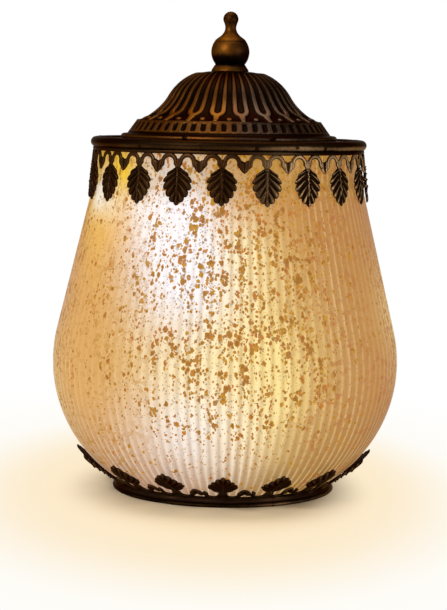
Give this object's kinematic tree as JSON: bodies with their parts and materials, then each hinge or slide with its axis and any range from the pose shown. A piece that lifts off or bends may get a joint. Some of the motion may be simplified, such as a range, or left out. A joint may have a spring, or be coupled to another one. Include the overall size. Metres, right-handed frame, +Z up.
{
  "type": "grave lantern",
  "caption": "Pear-shaped lantern of ribbed speckled glass in pressed leaf mounts, with a lift-off domed lid that carries a battery case and a string of lights.",
  "frame": {"origin": "centre of the foot ring's underside, on the surface that the lantern stands on", "axes": "+Z up through the finial, -Y towards the front, +X to the right seen from the front"},
  "size_m": [0.1286, 0.1286, 0.1774],
  "materials": {
    "silvered_glass": "ribbed glass, silvered inside and rubbed through in small amber specks, frosted glow",
    "antique_bronze": "pressed sheet with a dark antiqued bronze finish, rubbed golden brown on the high parts",
    "dome_bronze": "pressed dome with a warmer antiqued bronze finish, dark in the hollows",
    "turned_bronze": "turned knob with an antiqued bronze finish",
    "sealant": "cured clear-grey sealant",
    "bright_steel": "zinc-plated steel",
    "black_plastic": "moulded black plastic with a fine grain",
    "cell_jacket": "plain shrink jacket over a steel can",
    "board_green": "green circuit board with solder mask",
    "chip_black": "moulded chip",
    "black_rubber": "soft black rubber",
    "copper_wire": "lacquered copper wire",
    "lamp_resin": "clear resin drops with a lit lamp in each, emissive"
  },
  "bodies": {
    "lantern": {"glass_bowl": "silvered_glass", "foot_ring": "antique_bronze", "foot_gallery": "antique_bronze", "foot_sealant": "sealant", "collar_rim": "antique_bronze", "collar_gallery": "antique_bronze", "collar_sealant": "sealant"},
    "lid": {"lid_plate": "antique_bronze", "lid_dome": "dome_bronze", "finial": "turned_bronze", "knob_screw": "bright_steel", "knob_washer": "bright_steel", "battery_case": "black_plastic", "case_screws": "bright_steel", "battery_cells": "cell_jacket", "contact_springs": "bright_steel", "contact_plates": "bright_steel", "circuit_board": "board_green", "timer_chip": "chip_black", "switch_body": "bright_steel", "circuit_cover": "black_plastic", "cover_screw": "bright_steel", "door_pin": "bright_steel", "wire_grommet": "black_rubber", "light_wire": "copper_wire", "light_beads": "lamp_resin"},
    "battery_door": {"battery_door": "black_plastic", "door_screw": "bright_steel"},
    "switch": {"switch_slider": "black_plastic"}
  },
  "joints": [
    {"name": "lid_lift", "type": "slide", "parent": "lantern", "child": "lid", "axis": [0, 0, 1], "range_m": [0, 0.115]},
    {"name": "door_hinge", "type": "hinge", "parent": "lid", "child": "battery_door", "pos_m": [0, -0.0272, 0.121], "axis": [-1, 0, 0], "range_deg": [0, 90]},
    {"name": "switch_slide", "type": "slide", "parent": "lid", "child": "switch", "axis": [0, 1, 0], "range_m": [0, 0.004]}
  ]
}
